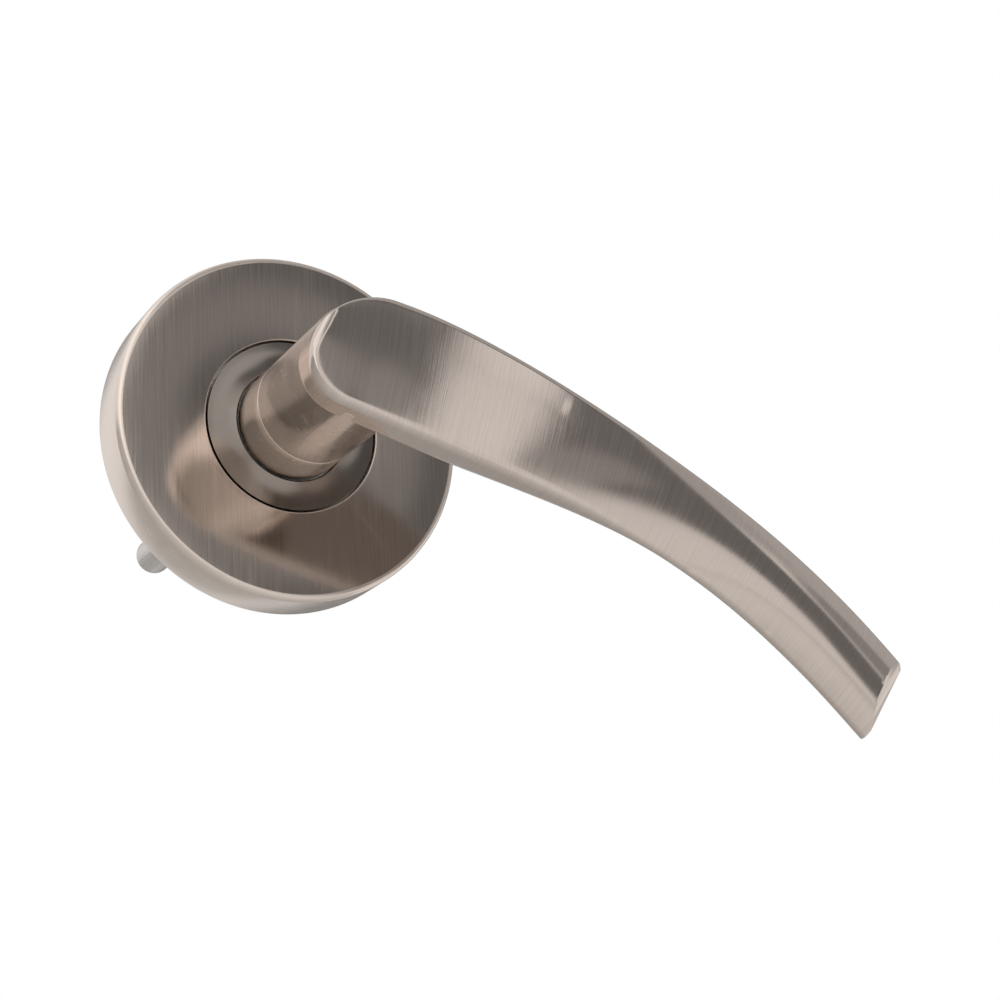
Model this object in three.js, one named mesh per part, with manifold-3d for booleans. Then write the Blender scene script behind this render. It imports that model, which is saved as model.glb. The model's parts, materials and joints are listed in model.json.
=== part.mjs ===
// Door lever handle on a round rose: one side of a lever set, in millimetres.
// The door face is the plane y = 0 and the lever stands out of it towards -Y.
// "Height" below means the distance out of the door, so height h lies at y = -h.
// The lever turns about the Y axis; at rest its arm runs towards +X.
import * as THREE from "three";
import { mergeVertices } from "three/addons/utils/BufferGeometryUtils.js";
import Module from "manifold-3d";

const wasm = await Module();
wasm.setup();

// ---------------------------------------------------------------- driving sizes
const JOINT_GAP = 0.1; // room at the joint between the neck and its sleeve

// rose
const ROSE_R = 33;
const ROSE_HEIGHT = 10.2;
const ROSE_WALL = 1.3;
const ROSE_EDGE_R = 1.2;
const ROSE_HOLE_R = 16.5;
const COLLAR_BORE_R = 10.7;
const COLLAR_TOP = 10.8;
const COLLAR_RIM = 10;
const COLLAR_DISH = 0.15;

// mounting plate and its spring cassette
const PLATE_R = 31.2;
const PLATE_TOP = 3.5;
const PLATE_BORE_R = 9;
const RECESS_R = 11.4;
const RECESS_DEPTH = 2.3;
const CUP_R = 20.4;
const CUP_WALL = 1.8;
const CASSETTE_TOP = 7;
const LID_THICKNESS = 0.8;
const BOSS_PITCH_R = 25.2;
const BOSS_R = 2.4;
const SNAP_RING_R = 30.8;
const SNAP_WIRE_R = 0.5;
const SNAP_HEIGHT = 1.75;
const SPRING_R = 18.2;
const SPRING_WIRE_R = 0.75;
const SPRING_HEIGHTS = [4.5, 6.15];
const CAM_ARM_HALF = 2;
const CAM_ARM_REACH = 16.3;
const CAM_RING_R = 12.6;
const STOP_ANGLE = 59; // either side of the cam arm at rest
const STOP_PITCH_R = 14.8;
const STOP_PIN_R = 1.2;

// fixing posts, which pass through the door
const POST_PITCH_R = 19.05;
const POST_LEAN = 14; // degrees from the vertical, seen from the lever's side
const POST_R = 3.4;
const POST_LENGTH = 33;
const SPIGOT_R = 2.4;

// lever
const NECK_R = 10.4;
const SLEEVE_TOP = 20;
const SLEEVE_BOTTOM = 10.2;
const JOURNAL_R = 8.5;
const JOURNAL_END = 0.15;
const FLAT_HALF = 7.4; // half the width across the journal's two flats
const SPINDLE_SIDE = 8;
const SPINDLE_TAIL = 45;
const SOCKET_TOP = 35;
const BUSH_TOP = 9.3; // of the nylon bush round the journal
const SET_SCREW_HEIGHT = 15;
const SET_SCREW_R = 2.4;

// arm: a loft of upright sections, square to X
const ARM_LENGTH = 114.8;
const HUB_END = 10.5; // how far the rounded hub end passes the axis
const HUB_EDGE_R = 1.4;
const CENTRE_Z = [0.8, 6.1, 1.8, 6.3, 2.9, -0.9]; // Bezier heights of the arm's middle line
const CENTRE_HEIGHT = [44, 44, 57, 50, 44]; // the same, out of the door
const HALF_HEIGHT = [11.3, 13, 5.5, 8.1, 8]; // the same, half the arm's height
// Where the corners of the arm's section stand, out of its middle line
const LOWER_EDGE = { hub: 3.3, tip: -1.6 };
const CREASE = { hub: 3.3, tip: 2.9 };
const CREASE_AT = { hub: 0.7, tip: 0.44 }; // share of the half height
const UPPER_EDGE = { hub: 3.3, tip: 1.3 };
const UPPER_BACK = { hub: -3.3, tip: -1.2 };
const LOWER_WALL = { hub: 6.6, tip: 1.4 }; // thickness along the lower edge
const END_LEAN = 8; // degrees that the cut end leans out at its top
const END_FACET_ANGLE = 45; // degrees between the end and its front facet
const END_FACET_OUT = -0.3;

// ---------------------------------------------------------------- materials
const material = (color, metalness, roughness) =>
  new THREE.MeshStandardMaterial({ color, metalness, roughness });
const SATIN_NICKEL = material(0xa29a92, 1, 0.38);
const POLISHED_NICKEL = material(0xb4aca4, 1, 0.22);
const ZINC_CASTING = material(0x8f9294, 1, 0.55);
const PLATED_STEEL = material(0xb9b6a8, 1, 0.4);
const SPRING_STEEL = material(0x6f7278, 1, 0.35);
const BLACK_STEEL = material(0x26272a, 0.8, 0.5);
const WHITE_NYLON = material(0xe4e2da, 0, 0.55);

const handle = new THREE.Group();
handle.name = "door_lever_handle";

// ---------------------------------------------------------------- solids
const radians = THREE.MathUtils.degToRad;
const smooth = (from, to, x) => THREE.MathUtils.smoothstep(x, from, to);
const mix = THREE.MathUtils.lerp;

function trianglesOf(index) {
  const kept = [];
  for (let i = 0; i < index.length; i += 3) {
    const [a, b, c] = [index[i], index[i + 1], index[i + 2]];
    if (a !== b && b !== c && c !== a) kept.push(a, b, c);
  }
  return kept;
}

// A closed geometry as a manifold solid, whichever way its faces were wound.
function solid(geometry) {
  const bare = geometry.clone();
  bare.deleteAttribute("normal");
  bare.deleteAttribute("uv");
  const merged = mergeVertices(bare, 1e-4);
  const vertProperties = merged.attributes.position.array;
  const kept = trianglesOf(merged.index.array);
  const build = (list) =>
    new wasm.Manifold(
      new wasm.Mesh({ numProp: 3, vertProperties, triVerts: new Uint32Array(list) }),
    );
  const made = build(kept);
  return made.volume() > 0 ? made : build(kept.reverse());
}

function addPart(name, body, look) {
  const mesh = body.getMesh();
  const geometry = new THREE.BufferGeometry();
  geometry.setAttribute("position", new THREE.BufferAttribute(mesh.vertProperties, 3));
  geometry.setIndex(new THREE.BufferAttribute(mesh.triVerts, 1));
  geometry.computeVertexNormals();
  const part = new THREE.Mesh(geometry, look);
  part.name = name;
  handle.add(part);
}

// A body turned about the Y axis from [radius, height] points. The outline starts and
// ends on the axis, or closes on itself.
function turned(outline, segments = 48) {
  const points = outline.map(([r, h]) => new THREE.Vector2(r, -h));
  const onAxis = outline[0][0] === 0;
  if (!onAxis) points.push(points[0].clone());
  return solid(new THREE.LatheGeometry(points, segments));
}

const rod = (r, low, high, segments = 32) =>
  turned([[0, low], [r, low], [r, high], [0, high]], segments);

const tube = (inner, outer, low, high, segments = 48) =>
  turned([[inner, low], [outer, low], [outer, high], [inner, high]], segments);

// A box between two heights, from its middle and sides across the door face.
function block(x, z, wide, tall, low, high) {
  const box = new THREE.BoxGeometry(wide, high - low, tall);
  return solid(box.translate(x, -(low + high) / 2, z));
}

// Points of an arc in a [radius, height] outline.
function arc(r, h, radius, from, to, steps) {
  const points = [];
  for (let i = 0; i <= steps; i++) {
    const angle = radians(mix(from, to, i / steps));
    points.push([r + radius * Math.cos(angle), h + radius * Math.sin(angle)]);
  }
  return points;
}

const polar = (radius, degrees) => [
  radius * Math.cos(radians(degrees)),
  radius * Math.sin(radians(degrees)),
];

const moved = (body, [x, z]) => body.translate([x, 0, z]);

function wire(points, radius, steps) {
  const path = new THREE.CatmullRomCurve3(points, false, "centripetal");
  const section = new THREE.Shape().absarc(0, 0, radius, 0, 2 * Math.PI);
  const settings = { steps, curveSegments: 4, extrudePath: path, bevelEnabled: false };
  return solid(new THREE.ExtrudeGeometry(section, settings));
}

// ---------------------------------------------------------------- rose
function roseCover() {
  const wallTop = ROSE_HEIGHT - ROSE_WALL;
  const edge = ROSE_R - ROSE_EDGE_R;
  return turned(
    [
      [ROSE_HOLE_R, wallTop],
      [ROSE_HOLE_R, ROSE_HEIGHT - 0.3],
      [ROSE_HOLE_R + 0.3, ROSE_HEIGHT],
      ...arc(edge, ROSE_HEIGHT - ROSE_EDGE_R, ROSE_EDGE_R, 90, 0, 5),
      [ROSE_R, 0],
      [ROSE_R - ROSE_WALL, 0],
      [ROSE_R - ROSE_WALL, wallTop - 1],
      [ROSE_R - ROSE_WALL - 1, wallTop],
    ],
    80,
  );
}

// The dished ring that fills the hole of the rose and rises towards the neck.
function collarRing() {
  const low = CASSETTE_TOP + LID_THICKNESS + 0.2;
  const outer = ROSE_HOLE_R - 0.4;
  const steps = 6;
  const dish = [];
  for (let i = 0; i <= steps; i++) {
    const t = i / steps;
    const height = mix(COLLAR_TOP, COLLAR_RIM, t) - COLLAR_DISH * Math.sin(Math.PI * t);
    dish.push([mix(COLLAR_BORE_R + 0.3, outer, t), height]);
  }
  return turned([[COLLAR_BORE_R, low], [COLLAR_BORE_R, COLLAR_TOP - 0.25], ...dish, [outer, low]], 60);
}

const bossAngles = [30, 150, 270];
const postAngles = [90 - POST_LEAN, 270 - POST_LEAN];
const stopAngles = [90 - STOP_ANGLE, 90 + STOP_ANGLE];

function mountingPlate() {
  const groove = SNAP_WIRE_R + 0.1;
  let body = turned(
    [
      [PLATE_BORE_R, RECESS_DEPTH],
      [RECESS_R, RECESS_DEPTH],
      [RECESS_R, 0],
      [PLATE_R, 0],
      [PLATE_R, SNAP_HEIGHT - groove],
      [SNAP_RING_R - groove, SNAP_HEIGHT - groove],
      [SNAP_RING_R - groove, SNAP_HEIGHT + groove],
      [PLATE_R, SNAP_HEIGHT + groove],
      [PLATE_R, 6],
      [PLATE_R - 1.4, 6],
      [PLATE_R - 1.4, PLATE_TOP],
      [CUP_R + CUP_WALL, PLATE_TOP],
      [CUP_R + CUP_WALL, CASSETTE_TOP],
      [CUP_R, CASSETTE_TOP],
      [CUP_R, PLATE_TOP],
      [PLATE_BORE_R, PLATE_TOP],
    ],
    64,
  );
  const tangFrom = CAM_ARM_REACH + 0.4;
  const tangTo = CUP_R + 0.5;
  const tangMiddle = (tangFrom + tangTo) / 2;
  const tang = block(0, tangMiddle, 2 * CAM_ARM_HALF, tangTo - tangFrom, PLATE_TOP - 0.5, 6.8);
  body = body.add(tang);
  for (const angle of bossAngles) {
    const place = polar(BOSS_PITCH_R, angle);
    body = body.add(moved(rod(BOSS_R, PLATE_TOP - 0.5, CASSETTE_TOP, 20), place));
    body = body.subtract(moved(rod(1.15, PLATE_TOP, CASSETTE_TOP + 1, 12), place));
  }
  for (const angle of postAngles) {
    const place = polar(POST_PITCH_R, angle);
    body = body.subtract(moved(rod(SPIGOT_R + 0.2, -1, PLATE_TOP + 0.1, 20), place));
  }
  for (const angle of stopAngles) {
    const place = polar(STOP_PITCH_R, angle);
    body = body.subtract(moved(rod(STOP_PIN_R + 0.1, 1, PLATE_TOP + 0.1, 16), place));
  }
  return body;
}

function cassetteLid() {
  const outer = BOSS_PITCH_R + BOSS_R + 0.4;
  const low = CASSETTE_TOP + 0.1;
  const high = CASSETTE_TOP + LID_THICKNESS;
  let body = tube(COLLAR_BORE_R + 1.3, outer, low, high, 60);
  for (const angle of bossAngles) {
    body = body.subtract(moved(rod(1.35, low - 1, high + 1, 12), polar(BOSS_PITCH_R, angle)));
  }
  return body;
}

// A pan-head screw with a cross recess.
function lidScrew(angle) {
  const seat = CASSETTE_TOP + LID_THICKNESS + 0.05;
  const top = seat + 0.85;
  let body = turned(
    [[0, 3.9], [0.95, 4.2], [0.95, seat], [2.2, seat], [2.2, top - 0.35], [1.7, top], [0, top]],
    20,
  );
  for (const turn of [0, 90]) {
    const slot = block(0, 0, 2.4, 0.5, top - 0.45, top + 1).rotate([0, turn, 0]);
    body = body.subtract(slot);
  }
  return moved(body, polar(BOSS_PITCH_R, angle));
}

// An open ring of wire whose two legs turn in and straddle the cam arm.
function returnSpring(height) {
  const side = CAM_ARM_HALF + 0.3 + SPRING_WIRE_R;
  const legs = [[side, 14.8], [side, 16.1]];
  const points = legs.map(([x, z]) => new THREE.Vector3(x, -height, z));
  const from = 75;
  const steps = 28;
  for (let i = 0; i <= steps; i++) {
    const [x, z] = polar(SPRING_R, mix(from, from - 330, i / steps));
    points.push(new THREE.Vector3(x, -height, z));
  }
  for (const [x, z] of legs.reverse()) points.push(new THREE.Vector3(-x, -height, z));
  return wire(points, SPRING_WIRE_R, 60);
}

function snapRing() {
  const points = [];
  const steps = 30;
  for (let i = 0; i <= steps; i++) {
    const [x, z] = polar(SNAP_RING_R, mix(-80, 260, i / steps));
    points.push(new THREE.Vector3(x, -SNAP_HEIGHT, z));
  }
  return wire(points, SNAP_WIRE_R, 60);
}

const stopPin = (angle) =>
  moved(
    turned([[0, 1.1], [STOP_PIN_R, 1.1], [STOP_PIN_R, 6.4], [STOP_PIN_R - 0.3, 6.7], [0, 6.7]], 20),
    polar(STOP_PITCH_R, angle),
  );

function nylonBush() {
  const bore = JOURNAL_R + 0.25;
  const outer = COLLAR_BORE_R - 0.15;
  const flange = COLLAR_BORE_R + 1;
  const low = CASSETTE_TOP + 0.15;
  const lip = low + 0.65;
  return turned(
    [[bore, low], [flange, low], [flange, lip], [outer, lip], [outer, BUSH_TOP], [bore, BUSH_TOP]],
    48,
  );
}

// A threaded sleeve, riveted into the plate by its spigot.
function fixingPost(angle) {
  const shoulder = -0.1;
  const end = -POST_LENGTH;
  const body = turned(
    [
      [0, PLATE_TOP - 0.3],
      [SPIGOT_R, PLATE_TOP - 0.3],
      [SPIGOT_R, shoulder],
      [POST_R, shoulder],
      [POST_R, end + 0.8],
      [POST_R - 0.8, end],
      [1.9, end],
      [1.9, end + 16],
      [0, end + 17],
    ],
    28,
  );
  return moved(body, polar(POST_PITCH_R, angle));
}

// ---------------------------------------------------------------- lever
function bezier(values, t) {
  let row = values;
  while (row.length > 1) row = row.slice(1).map((value, i) => mix(row[i], value, t));
  return row[0];
}

// One side of an outline, from corner to corner, swollen outwards by the corner's bulge.
function swollenSide(corner, next, steps) {
  const start = new THREE.Vector2(corner.up, corner.out);
  const along = new THREE.Vector2(next.up, next.out).sub(start);
  const outward = new THREE.Vector2(-along.y, along.x).normalize().multiplyScalar(corner.bulge);
  const first = Math.min(corner.cut / along.length(), 0.45);
  const last = 1 - Math.min(next.cut / along.length(), 0.45);
  const heading = (t) => along.clone().addScaledVector(outward, 4 * (1 - 2 * t));
  const points = [];
  for (let k = 0; k < steps; k++) {
    const t = mix(first, last, k / (steps - 1));
    points.push(start.clone().addScaledVector(along, t).addScaledVector(outward, 4 * t * (1 - t)));
  }
  return { points, leaving: heading(first), arriving: heading(last) };
}

// The point where two tangents meet, or the middle where they hardly turn.
function tangentMeeting(from, arriving, to, leaving) {
  const turn = arriving.cross(leaving);
  if (Math.abs(turn) < 0.04 * arriving.length() * leaving.length()) {
    return from.clone().lerp(to, 0.5);
  }
  const share = to.clone().sub(from).cross(leaving) / turn;
  return from.clone().addScaledVector(arriving, share);
}

// A closed outline through rounded corners.
function roundedLoop(corners) {
  const cornerSteps = 2;
  const sideSteps = 4;
  const count = corners.length;
  const sides = corners.map((corner, i) => swollenSide(corner, corners[(i + 1) % count], sideSteps));
  const outline = [];
  for (let i = 0; i < count; i++) {
    const before = sides[(i + count - 1) % count];
    const from = before.points[sideSteps - 1];
    const to = sides[i].points[0];
    const meeting = tangentMeeting(from, before.arriving, to, sides[i].leaving);
    const curve = new THREE.QuadraticBezierCurve(from, meeting, to);
    for (let k = 1; k <= cornerSteps; k++) outline.push(curve.getPoint(k / (cornerSteps + 1)));
    outline.push(...sides[i].points);
  }
  return outline;
}

// The arm's upright section at x. Its face turns from upright at the hub to a lower face
// and a narrow upper facet with a crease between them towards the tip.
function armSection(x) {
  const t = Math.max(x, 0) / ARM_LENGTH;
  const slope = ((CENTRE_Z.length - 1) * (CENTRE_Z[1] - CENTRE_Z[0])) / ARM_LENGTH;
  const middleZ = bezier(CENTRE_Z, t) + slope * Math.min(x, 0);
  const middleHeight = bezier(CENTRE_HEIGHT, t);
  const endRound = x < 0 ? Math.sqrt(1 - (x / HUB_END) ** 2) : 1;
  const tall = bezier(HALF_HEIGHT, t) * endRound;
  const turn = smooth(25, 95, x);
  const thin = smooth(15, 62, x);
  const edge = Math.min(1, (x + HUB_END) / HUB_EDGE_R);
  const drop = HUB_EDGE_R * (1 - Math.sqrt(1 - (1 - edge) ** 2));
  const lower = mix(LOWER_EDGE.hub - drop, LOWER_EDGE.tip, turn);
  const crease = mix(CREASE.hub - drop, CREASE.tip, turn);
  const upper = mix(UPPER_EDGE.hub - drop, UPPER_EDGE.tip, turn);
  const back = mix(UPPER_BACK.hub + drop, UPPER_BACK.tip, turn);
  const wall = mix(LOWER_WALL.hub - 2 * drop, LOWER_WALL.tip, thin);
  const creaseUp = mix(CREASE_AT.hub, CREASE_AT.tip, turn) * tall;
  const size = Math.min(1, tall / 6);
  const corner = (up, out, cut, bulge) => ({ up, out, cut: cut * size, bulge: bulge * size });
  const outline = roundedLoop([
    corner(-tall, lower, mix(1.4, 0.5, turn), mix(0.35, 1, turn)),
    corner(creaseUp, crease, mix(3, 2.3, turn), 0.1),
    corner(tall, upper, mix(2.2, 0.8, turn), 0),
    corner(tall, back, mix(1.5, 0.8, turn), mix(0.1, 0.7, turn)),
    corner(-tall, lower - wall, mix(1.5, 0.5, thin), 0),
  ]);
  return outline.map((p) => new THREE.Vector3(x, -(middleHeight + p.y), middleZ + p.x));
}

// Skins a run of sections of equal point count and closes both ends with a fan.
function loft(sections) {
  const sides = sections[0].length;
  const positions = sections.flat().flatMap((p) => p.toArray());
  const index = [];
  for (let s = 0; s + 1 < sections.length; s++) {
    for (let i = 0; i < sides; i++) {
      const next = (i + 1) % sides;
      const [a, b] = [s * sides + i, s * sides + next];
      index.push(a, b, b + sides, a, b + sides, a + sides);
    }
  }
  for (const [first, flip] of [[0, true], [sections.length - 1, false]]) {
    const middle = positions.length / 3;
    const centre = new THREE.Vector3();
    for (const p of sections[first]) centre.addScaledVector(p, 1 / sides);
    positions.push(...centre.toArray());
    for (let i = 0; i < sides; i++) {
      const [a, b] = [first * sides + i, first * sides + ((i + 1) % sides)];
      index.push(middle, ...(flip ? [b, a] : [a, b]));
    }
  }
  const geometry = new THREE.BufferGeometry();
  geometry.setAttribute("position", new THREE.Float32BufferAttribute(positions, 3));
  geometry.setIndex(index);
  return solid(geometry);
}

function armBlade() {
  const sections = [];
  const endSteps = 8;
  for (let i = 0; i < endSteps; i++) {
    const angle = radians(mix(10, 90, i / endSteps));
    sections.push(armSection(-HUB_END * Math.cos(angle)));
  }
  const steps = 30;
  const longest = ARM_LENGTH + 1.6;
  for (let i = 0; i <= steps; i++) sections.push(armSection((longest * i) / steps));
  const through = new THREE.Vector3(ARM_LENGTH, -CENTRE_HEIGHT.at(-1) - END_FACET_OUT, 0);
  let blade = loft(sections);
  for (const angle of [0, END_FACET_ANGLE]) {
    const inward = new THREE.Vector3(-1, 0, 0);
    inward.applyAxisAngle(new THREE.Vector3(0, 0, 1), radians(-angle));
    inward.applyAxisAngle(new THREE.Vector3(0, 1, 0), radians(END_LEAN));
    blade = blade.trimByPlane(inward.toArray(), inward.dot(through));
  }
  return blade;
}

function leverArm() {
  const shoulder = SLEEVE_TOP + JOINT_GAP;
  const bevel = JOINT_GAP;
  const top = CENTRE_HEIGHT[0];
  const neck = turned(
    [
      [0, JOURNAL_END],
      [JOURNAL_R - 0.4, JOURNAL_END],
      [JOURNAL_R - 0.9, JOURNAL_END + 0.3],
      [JOURNAL_R - 0.9, 1.4],
      [JOURNAL_R, 1.5],
      [JOURNAL_R, shoulder],
      [NECK_R - bevel, shoulder],
      [NECK_R, shoulder + bevel],
      [NECK_R, top],
      [0, top],
    ],
    56,
  );
  const side = SPINDLE_SIDE + 0.3;
  const screwHole = rod(SET_SCREW_R + 0.15, 0, JOURNAL_R + 1, 20).rotate([90, 0, 0]);
  let body = neck.add(armBlade());
  body = body.subtract(block(0, 0, side, side, -1, SOCKET_TOP));
  for (const way of [-1, 1]) {
    const cut = 3;
    const x = way * (FLAT_HALF + cut / 2);
    body = body.subtract(block(x, 0, cut, 2 * NECK_R, 1.5, CASSETTE_TOP));
  }
  return body.subtract(aimedDown(screwHole));
}

// Moves a body made along the axis so that it points straight down at the set screw.
function aimedDown(body) {
  return body.translate([0, -SET_SCREW_HEIGHT, 0]);
}

function neckSleeve() {
  const bevel = JOINT_GAP;
  const bore = JOURNAL_R + 0.2;
  return turned(
    [
      [bore, SLEEVE_BOTTOM],
      [NECK_R - bevel, SLEEVE_BOTTOM],
      [NECK_R, SLEEVE_BOTTOM + bevel],
      [NECK_R, SLEEVE_TOP - bevel],
      [NECK_R - bevel, SLEEVE_TOP],
      [bore, SLEEVE_TOP],
    ],
    56,
  );
}

function spindle() {
  const half = SPINDLE_SIDE / 2;
  const bevel = 0.5;
  const outline = new THREE.Shape();
  outline.moveTo(half - bevel, -half);
  outline.lineTo(half, -half + bevel);
  outline.lineTo(half, half - bevel);
  outline.lineTo(half - bevel, half);
  outline.lineTo(-half + bevel, half);
  outline.lineTo(-half, half - bevel);
  outline.lineTo(-half, -half + bevel);
  outline.lineTo(-half + bevel, -half);
  const length = SOCKET_TOP - 0.5 + SPINDLE_TAIL;
  const bar = new THREE.ExtrudeGeometry(outline, { depth: length, bevelEnabled: false });
  bar.rotateX(-Math.PI / 2);
  return solid(bar.translate(0, -(SOCKET_TOP - 0.5), 0));
}

function setScrew() {
  const tip = SPINDLE_SIDE / 2 + 0.15;
  const head = JOURNAL_R - 0.2;
  let body = turned([[0, tip], [1.6, tip], [SET_SCREW_R, tip + 0.8], [SET_SCREW_R, head], [0, head]], 20);
  body = body.subtract(rod(1.3, head - 2, head + 1, 6));
  return aimedDown(body.rotate([90, 0, 0]));
}

function driveCam() {
  const low = PLATE_TOP + 0.3;
  const high = CASSETTE_TOP - 0.15;
  const reach = CAM_ARM_REACH - 10;
  let body = rod(CAM_RING_R, low, high, 48);
  body = body.add(block(0, 10 + reach / 2, 2 * CAM_ARM_HALF, reach, low, high));
  const across = 2 * (FLAT_HALF + 0.25);
  const bore = rod(JOURNAL_R + 0.25, low - 1, high + 1, 48);
  return body.subtract(bore.intersect(block(0, 0, across, 40, low - 1, high + 1)));
}

function circlip() {
  const body = tube(JOURNAL_R - 0.75, JOURNAL_R + 2.1, 0.55, 1.25, 40);
  return body.subtract(block(0, -9, 7, 8, 0, 2));
}

const thrustWasher = () => tube(JOURNAL_R + 0.3, RECESS_R - 0.4, 1.45, 2.1, 40);

// ---------------------------------------------------------------- assembly
addPart("rose_cover", roseCover(), SATIN_NICKEL);
addPart("collar_ring", collarRing(), POLISHED_NICKEL);
addPart("mounting_plate", mountingPlate(), ZINC_CASTING);
addPart("cassette_lid", cassetteLid(), PLATED_STEEL);
addPart("snap_ring", snapRing(), SPRING_STEEL);
addPart("nylon_bush", nylonBush(), WHITE_NYLON);
bossAngles.forEach((angle, i) => addPart(`lid_screw_${i + 1}`, lidScrew(angle), PLATED_STEEL));
SPRING_HEIGHTS.forEach((h, i) => addPart(`return_spring_${i + 1}`, returnSpring(h), SPRING_STEEL));
stopAngles.forEach((angle, i) => addPart(`stop_pin_${i + 1}`, stopPin(angle), SPRING_STEEL));
postAngles.forEach((angle, i) => addPart(`fixing_post_${i + 1}`, fixingPost(angle), PLATED_STEEL));

addPart("lever_arm", leverArm(), SATIN_NICKEL);
addPart("neck_sleeve", neckSleeve(), POLISHED_NICKEL);
addPart("spindle", spindle(), PLATED_STEEL);
addPart("set_screw", setScrew(), BLACK_STEEL);
addPart("drive_cam", driveCam(), PLATED_STEEL);
addPart("circlip", circlip(), BLACK_STEEL);
addPart("thrust_washer", thrustWasher(), PLATED_STEEL);

export default handle;
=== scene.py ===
"""Door lever handle: the looks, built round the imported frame.

Everything is in metres in the row frame: the door face is y = 0, the lever stands out of it
towards -Y and its arm runs towards +X. "Height" is the distance out of the door, so a point
at height h lies at y = -h.
"""

import json
import math

import bmesh
import bpy
from mathutils import Matrix, Vector


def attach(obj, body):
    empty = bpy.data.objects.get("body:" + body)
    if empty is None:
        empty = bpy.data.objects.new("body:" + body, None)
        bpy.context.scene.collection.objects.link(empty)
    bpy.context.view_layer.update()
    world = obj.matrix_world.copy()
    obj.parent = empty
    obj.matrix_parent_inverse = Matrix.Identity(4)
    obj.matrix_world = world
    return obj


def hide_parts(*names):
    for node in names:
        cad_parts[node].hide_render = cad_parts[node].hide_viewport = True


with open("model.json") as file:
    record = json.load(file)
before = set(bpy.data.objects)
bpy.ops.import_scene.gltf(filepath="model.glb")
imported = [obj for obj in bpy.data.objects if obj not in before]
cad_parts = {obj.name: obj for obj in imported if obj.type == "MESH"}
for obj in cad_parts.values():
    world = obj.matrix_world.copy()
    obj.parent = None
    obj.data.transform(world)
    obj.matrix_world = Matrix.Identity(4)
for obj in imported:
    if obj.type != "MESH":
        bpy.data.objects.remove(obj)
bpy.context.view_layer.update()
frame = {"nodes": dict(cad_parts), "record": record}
MM = 0.001

# ------------------------------------------------------------------ sizes, in millimetres
ROSE_R = 33
ROSE_HEIGHT = 10.2
ROSE_WALL = 1.3
ROSE_EDGE_R = 1.2
ROSE_HOLE_R = 16.5
COLLAR_BORE_R = 10.7
COLLAR_TOP = 10.8
COLLAR_RIM = 10
COLLAR_DISH = 0.15
COLLAR_LOW = 8
NECK_R = 10.4
SLEEVE_TOP = 20
SLEEVE_BOTTOM = 10.2
JOURNAL_R = 8.5
SLEEVE_BEVEL = 0.12
SLEEVE_SLACK = 0.2  # between the sleeve's bore and the journal
SHOULDER_GAP = 0.1  # between the sleeve and the neck's shoulder
LEVER_BORE_R = 2
LEVER_BOTTOM = 0.15
GROOVE_DEPTH = 0.9  # of the circlip's groove
GROOVE_TOP = 1.4
ARM_LENGTH = 114.8
HUB_END = 10.5
HUB_EDGE_R = 1.4
CENTRE_Z = (0.8, 6.1, 1.8, 6.3, 2.9, -0.9)
CENTRE_HEIGHT = (44, 44, 57, 50, 44)
HALF_HEIGHT = (11.3, 13.0, 5.5, 8.1, 8.0)
# The arm's section: where its corners stand out of the middle line, at the hub and the tip.
LOWER_EDGE = (3.3, -1.6)
CREASE = (3.3, 2.9)
CREASE_AT = (0.7, 0.44)
UPPER_EDGE = (3.3, 1.3)
UPPER_BACK = (-3.3, -1.2)
LOWER_WALL = (6.6, 1.4)
# How far each corner is rounded, and how far its side swells, at the hub and the tip.
LOWER_ROUND = (1.4, 0.5)
LOWER_SWELL = (0.35, 1)
CREASE_ROUND = (3, 2.3)
CREASE_SWELL = 0.1
UPPER_ROUND = (2.2, 0.8)
BACK_ROUND = (1.5, 0.8)
BACK_SWELL = (0.1, 0.7)
FOOT_ROUND = (1.5, 0.5)
FULL_ROUND_HALF_HEIGHT = 6  # lower sections than this have smaller roundings
TWIST_X = (25, 95)  # where the section changes from the hub's to the tip's
THIN_X = (15, 62)  # where the lower wall thins
END_SPARE = 1.6  # blade past the end, cut off again
END_LEAN = 8
END_FACET_ANGLE = 45
END_FACET_OUT = -0.3


# ------------------------------------------------------------------ small maths
def mix(a, b, t):
    return a + (b - a) * t


def smooth(low, high, x):
    t = min(max((x - low) / (high - low), 0), 1)
    return t * t * (3 - 2 * t)


def bezier(values, t):
    values = list(values)
    while len(values) > 1:
        values = [mix(a, b, t) for a, b in zip(values, values[1:])]
    return values[0]


def arc(r, h, radius, start, end, steps):
    """Points of an arc in a (radius, height) outline, between two angles in degrees."""
    points = []
    for i in range(steps + 1):
        angle = math.radians(mix(start, end, i / steps))
        points.append((r + radius * math.cos(angle), h + radius * math.sin(angle)))
    return points


# ------------------------------------------------------------------ meshes
def new_object(name, points, faces):
    mesh = bpy.data.meshes.new(name)
    mesh.from_pydata([Vector(p) * MM for p in points], [], faces)
    obj = bpy.data.objects.new(name, mesh)
    bpy.context.scene.collection.objects.link(obj)
    tidy_mesh(obj)
    return obj


def tidy_mesh(obj):
    """Merges doubles, turns faces outwards and shades the mesh smooth with crisp corners."""
    work = bmesh.new()
    work.from_mesh(obj.data)
    bmesh.ops.remove_doubles(work, verts=work.verts, dist=1e-7)
    bmesh.ops.recalc_face_normals(work, faces=work.faces)
    work.to_mesh(obj.data)
    work.free()
    obj.data.shade_smooth()
    obj.data.set_sharp_from_angle(angle=math.radians(40))


def turned(name, outline, segments=256):
    """A body turned about the Y axis from a closed (radius, height) outline."""
    points, faces = [], []
    count = len(outline)
    for s in range(segments):
        angle = 2 * math.pi * s / segments
        for r, h in outline:
            points.append((r * math.cos(angle), -h, r * math.sin(angle)))
    for s in range(segments):
        for i in range(count):
            j = (i + 1) % count
            a, b = s * count, ((s + 1) % segments) * count
            faces.append((a + i, a + j, b + j, b + i))
    obj = new_object(name, points, faces)
    return obj


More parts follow.
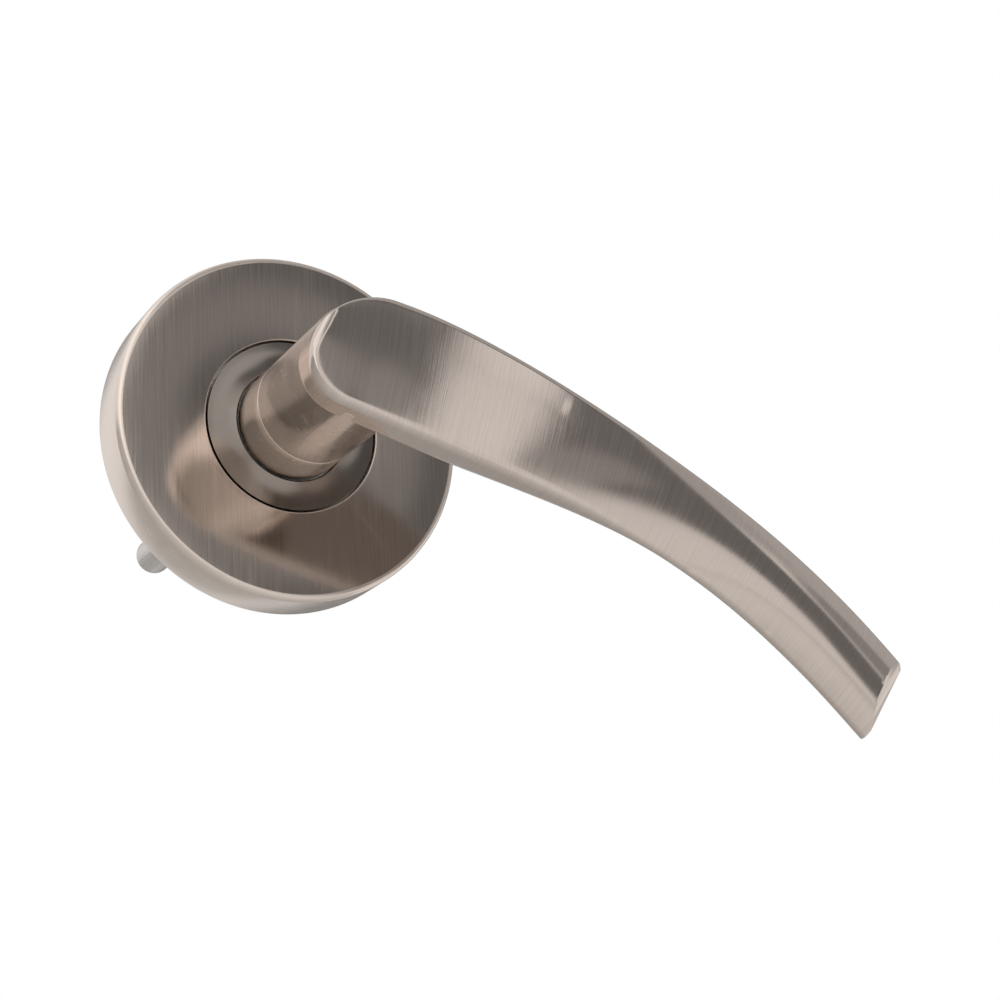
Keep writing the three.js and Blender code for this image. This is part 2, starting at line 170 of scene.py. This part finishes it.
def apply_modifiers(obj):
    graph = bpy.context.evaluated_depsgraph_get()
    mesh = bpy.data.meshes.new_from_object(obj.evaluated_get(graph))
    obj.modifiers.clear()
    obj.data = mesh


def combine(obj, other, operation):
    """Booleans obj with other, which is used up."""
    cut = obj.modifiers.new("cut", "BOOLEAN")
    cut.operation = operation
    cut.solver = "EXACT"
    cut.object = other
    bpy.context.view_layer.update()
    apply_modifiers(obj)
    bpy.data.objects.remove(other)


# ------------------------------------------------------------------ lever
PARALLEL = 0.04  # sides closer to parallel than this are joined without a corner point
MOST_CUT = 0.45  # a rounding takes at most this share of a side


def rounded_loop(corners, corner_steps, side_steps):
    """A closed outline from corners (up, out, cut, bulge), each side swollen by its bulge."""
    points = [Vector(c[:2]) for c in corners]
    sides = []
    for i, (_, _, cut, bulge) in enumerate(corners):
        start, end = points[i], points[(i + 1) % len(points)]
        along = end - start
        outward = Vector((-along.y, along.x)).normalized() * bulge
        first = min(cut / along.length, MOST_CUT)
        last = 1 - min(corners[(i + 1) % len(points)][2] / along.length, MOST_CUT)
        shares = [mix(first, last, k / (side_steps - 1)) for k in range(side_steps)]
        side = [start + along * t + outward * (4 * t * (1 - t)) for t in shares]
        sides.append((side, along + outward * 4 * (1 - 2 * first), along + outward * 4 * (1 - 2 * last)))
    outline = []
    for i, (side, leaving, _) in enumerate(sides):
        before, _, arriving = sides[i - 1]
        a, b = before[-1], side[0]
        cross = arriving.x * leaving.y - arriving.y * leaving.x
        middle = (a + b) / 2
        if abs(cross) > PARALLEL * arriving.length * leaving.length:
            gap = b - a
            middle = a + arriving * ((gap.x * leaving.y - gap.y * leaving.x) / cross)
        for k in range(1, corner_steps + 1):
            t = k / (corner_steps + 1)
            outline.append(a * (1 - t) ** 2 + middle * (2 * t * (1 - t)) + b * t * t)
        outline.extend(side)
    return outline


def arm_section(x, corner_steps, side_steps):
    """The arm's upright section at x."""
    t = max(x, 0) / ARM_LENGTH
    slope = (len(CENTRE_Z) - 1) * (CENTRE_Z[1] - CENTRE_Z[0]) / ARM_LENGTH
    middle_z = bezier(CENTRE_Z, t) + slope * min(x, 0)
    middle_h = bezier(CENTRE_HEIGHT, t)
    end_round = math.sqrt(max(1 - (x / HUB_END) ** 2, 0)) if x < 0 else 1
    tall = bezier(HALF_HEIGHT, t) * end_round
    turn = smooth(*TWIST_X, x)
    thin = smooth(*THIN_X, x)
    edge = min(1, (x + HUB_END) / HUB_EDGE_R)
    drop = HUB_EDGE_R * (1 - math.sqrt(max(1 - (1 - edge) ** 2, 0)))
    lower = mix(LOWER_EDGE[0] - drop, LOWER_EDGE[1], turn)
    crease = mix(CREASE[0] - drop, CREASE[1], turn)
    upper = mix(UPPER_EDGE[0] - drop, UPPER_EDGE[1], turn)
    back = mix(UPPER_BACK[0] + drop, UPPER_BACK[1], turn)
    wall = mix(LOWER_WALL[0] - 2 * drop, LOWER_WALL[1], thin)
    size = min(1, tall / FULL_ROUND_HALF_HEIGHT)
    corners = (
        (-tall, lower, mix(*LOWER_ROUND, turn) * size, mix(*LOWER_SWELL, turn) * size),
        (mix(*CREASE_AT, turn) * tall, crease, mix(*CREASE_ROUND, turn) * size, CREASE_SWELL * size),
        (tall, upper, mix(*UPPER_ROUND, turn) * size, 0),
        (tall, back, mix(*BACK_ROUND, turn) * size, mix(*BACK_SWELL, turn) * size),
        (-tall, lower - wall, mix(*FOOT_ROUND, thin) * size, 0),
    )
    loop = rounded_loop(corners, corner_steps, side_steps)
    return [(x, -(middle_h + out), middle_z + up) for up, out in loop]


def arm_blade(corner_steps=8, side_steps=26, steps=180, end_steps=30):
    """The arm and hub as a loft of upright sections, with its end trimmed."""
    sections = []
    for i in range(end_steps):
        angle = math.radians(mix(3, 90, i / end_steps))
        sections.append(arm_section(-HUB_END * math.cos(angle), corner_steps, side_steps))
    longest = ARM_LENGTH + END_SPARE
    for i in range(steps + 1):
        sections.append(arm_section(longest * i / steps, corner_steps, side_steps))
    sides = len(sections[0])
    points = [p for section in sections for p in section]
    faces = []
    for s in range(len(sections) - 1):
        for i in range(sides):
            j = (i + 1) % sides
            a, b = s * sides, (s + 1) * sides
            faces.append((a + i, a + j, b + j, b + i))
    faces.append(tuple(range(sides)))
    last = (len(sections) - 1) * sides
    faces.append(tuple(range(last, last + sides)))
    blade = new_object("arm_blade", points, faces)
    trim_end(blade)
    return blade


def trim_end(blade):
    """Cuts the arm's leaning end and the oblique facet on its front."""
    work = bmesh.new()
    work.from_mesh(blade.data)
    point = Vector((ARM_LENGTH, -(CENTRE_HEIGHT[-1] + END_FACET_OUT), 0)) * MM
    lean = Matrix.Rotation(math.radians(END_LEAN), 3, "Y")
    for angle in (0, END_FACET_ANGLE):
        normal = lean @ Matrix.Rotation(math.radians(-angle), 3, "Z") @ Vector((1, 0, 0))
        parts = work.verts[:] + work.edges[:] + work.faces[:]
        cut = bmesh.ops.bisect_plane(work, geom=parts, plane_co=point, plane_no=normal, clear_outer=True)
        edges = [e for e in cut["geom_cut"] if isinstance(e, bmesh.types.BMEdge)]
        bmesh.ops.holes_fill(work, edges=edges, sides=0)
    work.to_mesh(blade.data)
    work.free()
    tidy_mesh(blade)


def lever_arm():
    """The journal and neck, turned, joined to the arm."""
    shoulder = SLEEVE_TOP + SHOULDER_GAP
    top = CENTRE_HEIGHT[0]
    neck_outline = [
        (LEVER_BORE_R, LEVER_BOTTOM),
        (JOURNAL_R - GROOVE_DEPTH, LEVER_BOTTOM),
        (JOURNAL_R - GROOVE_DEPTH, GROOVE_TOP),
        (JOURNAL_R, GROOVE_TOP + 0.1),
        (JOURNAL_R, shoulder),
        (NECK_R - SLEEVE_BEVEL, shoulder),
        (NECK_R, shoulder + SLEEVE_BEVEL),
        (NECK_R, top),
        (LEVER_BORE_R, top),
    ]
    neck = turned("lever", neck_outline, 300)
    combine(neck, arm_blade(), "UNION")
    return neck


# ------------------------------------------------------------------ materials
class Shader:
    """A node-based material made by short calls."""

    def __init__(self, name):
        self.material = bpy.data.materials.new(name)
        self.material.use_nodes = True
        self.tree = self.material.node_tree
        self.surface = self.tree.nodes["Principled BSDF"]

    def node(self, kind, settings=None, **inputs):
        made = self.tree.nodes.new(kind)
        for key, value in (settings or {}).items():
            setattr(made, key, value)
        for key, value in inputs.items():
            name = int(key[1:]) if key[0] == "i" and key[1:].isdigit() else key.replace("_", " ")
            self.put(made.inputs[name], value)
        return made

    def put(self, socket, value):
        if isinstance(value, bpy.types.NodeSocket):
            self.tree.links.new(value, socket)
        else:
            socket.default_value = value

    def maths(self, operation, a, b=0.0):
        return self.node("ShaderNodeMath", {"operation": operation}, i0=a, i1=b).outputs[0]

    def remap(self, value, low, high, to_low, to_high):
        made = self.node("ShaderNodeMapRange", None, Value=value)
        for key, number in (("From Min", low), ("From Max", high), ("To Min", to_low), ("To Max", to_high)):
            made.inputs[key].default_value = number
        return made.outputs[0]

    def vector(self, x, y, z):
        return self.node("ShaderNodeCombineXYZ", None, X=x, Y=y, Z=z).outputs[0]

    def noise(self, vector, scale, detail=3.0, roughness=0.55):
        settings = {"Scale": scale, "Detail": detail, "Roughness": roughness}
        made = self.node("ShaderNodeTexNoise", None, Vector=vector, **settings)
        return made.outputs["Fac"]

    def place(self):
        """The row-frame point of the surface, as x, y and z sockets."""
        point = self.node("ShaderNodeTexCoord").outputs["Object"]
        split = self.node("ShaderNodeSeparateXYZ", None, Vector=point)
        return point, split.outputs[0], split.outputs[1], split.outputs[2]


def tinted(shader, base, spread, amount):
    """The base colour made lighter and darker by a 0 to 1 value."""
    dark = tuple(c * (1 - spread) for c in base) + (1,)
    light = tuple(min(c * (1 + spread), 1) for c in base) + (1,)
    blend = shader.node("ShaderNodeMix", {"data_type": "RGBA"})
    shader.put(blend.inputs["Factor"], amount)
    blend.inputs["A"].default_value = dark
    blend.inputs["B"].default_value = light
    return blend.outputs["Result"]


def edge_wear(shader, breakup):
    """0 on open faces, up to 1 where handling has polished an outer edge."""
    sharp = shader.node("ShaderNodeNewGeometry").outputs["Pointiness"]
    edge = shader.remap(sharp, 0.51, 0.56, 0, 1)
    return shader.maths("MULTIPLY", edge, shader.remap(breakup, 0.35, 0.65, 0.3, 1))


NICKEL = (0.68, 0.59, 0.53)
FINE_LINES = (7500, 110)  # brushing lines per metre, across them and along them
COARSE_LINES = (2600, 45)
LATHE_LINES = 5200


def brushed_nickel(name, base, across, along, tangent, rough, lines, anisotropic):
    """Nickel with fine parallel lines. across, along and tangent build sockets from a shader."""
    shader = Shader(name)
    point, x, y, z = shader.place()
    a, b = across(shader, x, z), along(shader, x, z)
    fine, coarse = (
        shader.noise(
            shader.vector(shader.maths("MULTIPLY", a, wide), shader.maths("MULTIPLY", b, long), y), 1.0, detail
        )
        for (wide, long), detail in ((FINE_LINES, 3), (COARSE_LINES, 2))
    )
    both = shader.maths("ADD", shader.maths("MULTIPLY", fine, 0.55), shader.maths("MULTIPLY", coarse, 0.45))
    cloud = shader.noise(point, 60.0, 2)
    worn = edge_wear(shader, cloud)
    tone = shader.maths("ADD", shader.remap(both, 0.3, 0.7, 0, 1), worn)
    shader.put(shader.surface.inputs["Base Color"], tinted(shader, base, lines, tone))
    low = shader.remap(both, 0.3, 0.7, rough - 0.03, rough + 0.03)
    spread = shader.remap(cloud, 0.3, 0.7, -0.02, 0.02)
    uneven = shader.maths("ADD", low, spread)
    smoothed = shader.maths("SUBTRACT", uneven, shader.maths("MULTIPLY", worn, 0.03))
    shader.put(shader.surface.inputs["Roughness"], smoothed)
    bump = shader.node("ShaderNodeBump", None, Strength=0.12, Distance=0.00004, Height=both)
    shader.put(shader.surface.inputs["Normal"], bump.outputs[0])
    shader.surface.inputs["Metallic"].default_value = 1
    shader.surface.inputs["Anisotropic"].default_value = anisotropic
    shader.put(shader.surface.inputs["Tangent"], tangent(shader, x))
    return shader.material


def object_vector(shader, vector):
    turn = {"vector_type": "VECTOR", "convert_from": "OBJECT", "convert_to": "WORLD"}
    return shader.node("ShaderNodeVectorTransform", turn, Vector=vector).outputs[0]


ROSE_BRUSH = math.radians(118)  # direction of the rose's brushing, from +X towards +Z


def rose_nickel():
    c, s = math.cos(ROSE_BRUSH), math.sin(ROSE_BRUSH)

    def across(sh, x, z):
        return sh.maths("SUBTRACT", sh.maths("MULTIPLY", x, s), sh.maths("MULTIPLY", z, c))

    def along(sh, x, z):
        return sh.maths("ADD", sh.maths("MULTIPLY", x, c), sh.maths("MULTIPLY", z, s))

    def tangent(sh, x):
        return object_vector(sh, (c, 0, s))

    return brushed_nickel("rose_nickel", (0.58, 0.503, 0.45), across, along, tangent, 0.12, 0.13, 0.6)


def arm_nickel():
    lean_hub, lean_tip = 0.28, -0.18  # how far the brushing leans back per height, hub and tip

    def lean(sh, x):
        return sh.remap(x, 0, ARM_LENGTH * MM, lean_hub, lean_tip)

    def across(sh, x, z):
        return sh.maths("ADD", x, sh.maths("MULTIPLY", z, lean(sh, x)))

    def along(sh, x, z):
        return z

    def tangent(sh, x):
        back = sh.maths("MULTIPLY", lean(sh, x), -1)
        return object_vector(sh, sh.vector(back, 0.0, 1.0))

    return brushed_nickel("arm_nickel", NICKEL, across, along, tangent, 0.11, 0.09, 0.6)


def satin_metal(name, base, rough, grain=0.02, metallic=1.0, rings=0.0):
    """Fine satin metal with soft mottling; rings is the weight of lathe lines round the Y axis."""
    shader = Shader(name)
    point, x, y, z = shader.place()
    mottle = shader.noise(point, 350.0, 4)
    speck = shader.noise(point, 5000.0, 2)
    if rings:
        across = shader.vector(x, 0.0, z)
        out = shader.node("ShaderNodeVectorMath", {"operation": "LENGTH"}, i0=across).outputs["Value"]
        rise, turn = (shader.maths("MULTIPLY", place, LATHE_LINES) for place in (y, out))
        lathe = shader.noise(shader.vector(turn, rise, 0.0), 1.0, 3)
        speck = shader.maths("ADD", speck, shader.maths("MULTIPLY", lathe, rings))
        uneven = shader.maths("MULTIPLY", shader.maths("SUBTRACT", lathe, 0.5), rings)
        mottle = shader.maths("ADD", mottle, uneven)
    tone = shader.maths("ADD", mottle, edge_wear(shader, mottle))
    shader.put(shader.surface.inputs["Base Color"], tinted(shader, base, 0.06, tone))
    uneven_rough = shader.remap(mottle, 0.3, 0.7, rough * 0.88, rough * 1.12)
    shader.put(shader.surface.inputs["Roughness"], uneven_rough)
    bump = shader.node("ShaderNodeBump", None, Strength=grain, Distance=0.00005, Height=speck)
    shader.put(shader.surface.inputs["Normal"], bump.outputs[0])
    shader.surface.inputs["Metallic"].default_value = metallic
    return shader.material


LOOKS = {
    "rose": rose_nickel(),
    "arm": arm_nickel(),
    # The turned nickel's base is a fifth lighter than NICKEL: painted light on the neck, the sleeve and the
    # rose's rim. Its lathe rings are real.
    "turned": satin_metal("turned_nickel_painted_light", (0.82, 0.715, 0.64), 0.25, 0.003, rings=0.35),
    # The collar's nickel base is far darker than the other nickel: painted shade for the sunk ring round the
    # neck. This look also dresses the pieces in the polished_nickel slot.
    "polished": satin_metal("collar_nickel_painted_shade", (0.32, 0.277, 0.245), 0.16, 0.003, rings=0.35),
    "zinc": satin_metal("cast_zinc", (0.42, 0.42, 0.43), 0.5, 0.25),
    "steel": satin_metal("plated_steel", (0.66, 0.62, 0.585), 0.32, 0.1),
    "spring": satin_metal("spring_steel", (0.36, 0.37, 0.39), 0.3, 0.08),
    "black": satin_metal("black_oxide", (0.05, 0.05, 0.055), 0.4, 0.15, 0.6),
    "nylon": satin_metal("white_nylon", (0.85, 0.84, 0.8), 0.45, 0.2, 0.0),
}


# ------------------------------------------------------------------ pieces
def finish_piece(obj, look, body, slot, *nodes, other=None, where=None):
    """Dresses a piece and ties it to the frame; faces picked by where get the other look."""
    obj.data.materials.clear()
    obj.data.materials.append(LOOKS[look])
    if other:
        obj.data.materials.append(LOOKS[other])
        for face in obj.data.polygons:
            face.material_index = 1 if where(face.center / MM, face.normal) else 0
    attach(obj, body)
    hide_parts(*nodes)
    return obj


def rose_cover():
    wall_top = ROSE_HEIGHT - ROSE_WALL
    edge = ROSE_R - ROSE_EDGE_R
    outline = [
        (ROSE_HOLE_R, wall_top),
        *arc(ROSE_HOLE_R + 0.3, ROSE_HEIGHT - 0.3, 0.3, 180, 90, 5),
        *arc(edge, ROSE_HEIGHT - ROSE_EDGE_R, ROSE_EDGE_R, 90, 0, 14),
        *arc(ROSE_R - 0.3, 0.3, 0.3, 0, -90, 4),
        (ROSE_R - ROSE_WALL, 0),
        *arc(ROSE_R - ROSE_WALL - 0.8, wall_top - 0.8, 0.8, 0, 90, 5),
    ]
    return turned("rose_shell", outline)


def collar_ring():
    outer = ROSE_HOLE_R - 0.4
    steps = 16
    dish = []
    for i in range(steps + 1):
        t = i / steps
        height = mix(COLLAR_TOP, COLLAR_RIM, t) - COLLAR_DISH * math.sin(math.pi * t)
        dish.append((mix(COLLAR_BORE_R + 0.3, outer, t), height))
    outline = [(COLLAR_BORE_R, COLLAR_LOW), (COLLAR_BORE_R, COLLAR_TOP - 0.25), *dish, (outer, COLLAR_LOW)]
    return turned("collar", outline)


def neck_sleeve():
    bevel = SLEEVE_BEVEL
    bore = JOURNAL_R + SLEEVE_SLACK
    outline = [
        (bore, SLEEVE_BOTTOM),
        (NECK_R - bevel, SLEEVE_BOTTOM),
        *arc(NECK_R - bevel, SLEEVE_BOTTOM + bevel, bevel, -90, 0, 4),
        *arc(NECK_R - bevel, SLEEVE_TOP - bevel, bevel, 0, 90, 4),
        (bore, SLEEVE_TOP),
    ]
    return turned("sleeve", outline)


def off_the_face(centre, normal):
    return math.hypot(centre.x, centre.z) > ROSE_R - ROSE_EDGE_R or normal.y > -0.9


def on_the_neck(centre, normal):
    return centre.y > -(CENTRE_HEIGHT[0] - LOWER_EDGE[0]) and math.hypot(centre.x, centre.z) < NECK_R + 0.05


finish_piece(
    rose_cover(), "rose", "rose", "satin_nickel", "rose_cover", other="turned", where=off_the_face
)
finish_piece(collar_ring(), "polished", "rose", "polished_nickel", "collar_ring")
finish_piece(
    lever_arm(), "arm", "lever", "satin_nickel", "lever_arm", other="turned", where=on_the_neck
)
finish_piece(neck_sleeve(), "turned", "lever", "polished_nickel", "neck_sleeve")

SLOT_LOOKS = {
    "satin_nickel": "rose",
    "polished_nickel": "polished",
    "zinc_casting": "zinc",
    "plated_steel": "steel",
    "spring_steel": "spring",
    "black_steel": "black",
    "white_nylon": "nylon",
}
for part in frame["record"]["subparts"]:
    node = frame["nodes"][part["node"]]
    node.data.materials.clear()
    node.data.materials.append(LOOKS[SLOT_LOOKS[part["material_slot"]]])


# ------------------------------------------------------------------ studio
def add_floor():
    bpy.ops.mesh.primitive_plane_add(size=2.4, location=(0, 0, -0.32))
    floor = bpy.context.object
    floor.name = "floor"
    shader = Shader("pale_floor")
    shader.surface.inputs["Base Color"].default_value = (0.64, 0.64, 0.63, 1)
    shader.surface.inputs["Roughness"].default_value = 0.9
    floor.data.materials.append(shader.material)


def add_camera():
    """Below and to the left of the handle, looking up at it, with the picture turned."""
    data = bpy.data.cameras.new("camera")
    data.lens = 73.2
    data.sensor_width = 36
    data.clip_start = 0.01
    camera = bpy.data.objects.new("camera", data)
    bpy.context.scene.collection.objects.link(camera)
    place = Vector((-0.0592, -0.3359, -0.1710))
    target = Vector((0.03893, -0.020, 0.00475))
    roll = math.radians(24.307)
    look = (target - place).to_track_quat("-Z", "Y").to_matrix().to_4x4()
    camera.matrix_world = Matrix.Translation(place) @ look @ Matrix.Rotation(roll, 4, "Z")
    bpy.context.scene.camera = camera


# Zones of the studio seen in the metal, each a brightness and the caps of sky that it lies
# within. A cap is (turn, rise, radius, softness) in degrees; turn is measured from straight
# in front of the door (-Y) towards +X. A cap of radius 90 is half of the sky.
SURROUND = 0.85  # brightness everywhere else
ZONES = [
    (1.15, [(-72, 30, 12, 14)]),
    (0.78, [(25, -30, 62, 25)]),
    (1.2, [(-38, 4, 14, 14)]),
    (0.45, [(0, 70, 34, 16)]),
    (0.5, [(90, 50, 16, 12)]),
    (0.25, [(155, 32, 26, 18)]),
    (0.3, [(58, 26, 10, 8)]),
    (0.17, [(72, 0, 90, 4), (127, 52, 90, 2.5), (-36, -36.5, 90, 4), (-42, 0, 90, 6)]),
    (0.3, [(8, 25, 3, 4)]),
    (0.85, [(-89.2, 0, 90, 1.5), (80, 0, 90, 5), (180, 69, 90, 4), (0, -50, 90, 3)]),
]


def towards(turn, rise):
    turn, rise = math.radians(turn), math.radians(rise)
    return Vector((math.sin(turn) * math.cos(rise), -math.cos(turn) * math.cos(rise), math.sin(rise)))


def add_world():
    world = bpy.data.worlds.new("studio")
    bpy.context.scene.world = world
    world.use_nodes = True
    tree = world.node_tree
    tree.nodes.clear()
    link = tree.links.new

    def cap(direction, turn, rise, radius, soft):
        dot = tree.nodes.new("ShaderNodeVectorMath")
        dot.operation = "DOT_PRODUCT"
        link(direction, dot.inputs[0])
        dot.inputs[1].default_value = towards(turn, rise)
        share = tree.nodes.new("ShaderNodeMapRange")
        share.interpolation_type = "SMOOTHSTEP"
        link(dot.outputs["Value"], share.inputs["Value"])
        share.inputs["From Min"].default_value = math.cos(math.radians(radius + soft))
        share.inputs["From Max"].default_value = math.cos(math.radians(radius))
        return share.outputs[0]

    def times(a, b):
        made = tree.nodes.new("ShaderNodeMath")
        made.operation = "MULTIPLY"
        link(a, made.inputs[0])
        link(b, made.inputs[1])
        return made.outputs[0]

    direction = tree.nodes.new("ShaderNodeTexCoord").outputs["Generated"]
    level = None
    for bright, caps in ZONES:
        share = cap(direction, *caps[0])
        for one in caps[1:]:
            share = times(share, cap(direction, *one))
        blend = tree.nodes.new("ShaderNodeMix")
        link(share, blend.inputs["Factor"])
        blend.inputs["A"].default_value = SURROUND
        if level:
            link(level, blend.inputs["A"])
        blend.inputs["B"].default_value = bright
        level = blend.outputs["Result"]
    lit = tree.nodes.new("ShaderNodeBackground")
    link(level, lit.inputs["Strength"])
    lit.inputs["Color"].default_value = (1, 1, 1, 1)
    seen = tree.nodes.new("ShaderNodeBackground")
    seen.inputs["Color"].default_value = (1, 1, 1, 1)
    path = tree.nodes.new("ShaderNodeLightPath")
    choose = tree.nodes.new("ShaderNodeMixShader")
    link(path.outputs["Is Camera Ray"], choose.inputs[0])
    link(lit.outputs[0], choose.inputs[1])
    link(seen.outputs[0], choose.inputs[2])
    out = tree.nodes.new("ShaderNodeOutputWorld")
    link(choose.outputs[0], out.inputs["Surface"])


def add_lamp():
    """A soft lamp above the floor in front; the metal doesn't mirror it."""
    data = bpy.data.lights.new("floor_lamp", "AREA")
    data.shape = "DISK"
    data.size = 0.6
    data.energy = 9
    lamp = bpy.data.objects.new("floor_lamp", data)
    lamp.location = (0.55, -0.75, 0.8)
    lamp.visible_glossy = False
    bpy.context.scene.collection.objects.link(lamp)


add_floor()
add_lamp()
add_camera()
add_world()
bpy.context.scene.view_settings.view_transform = "Standard"
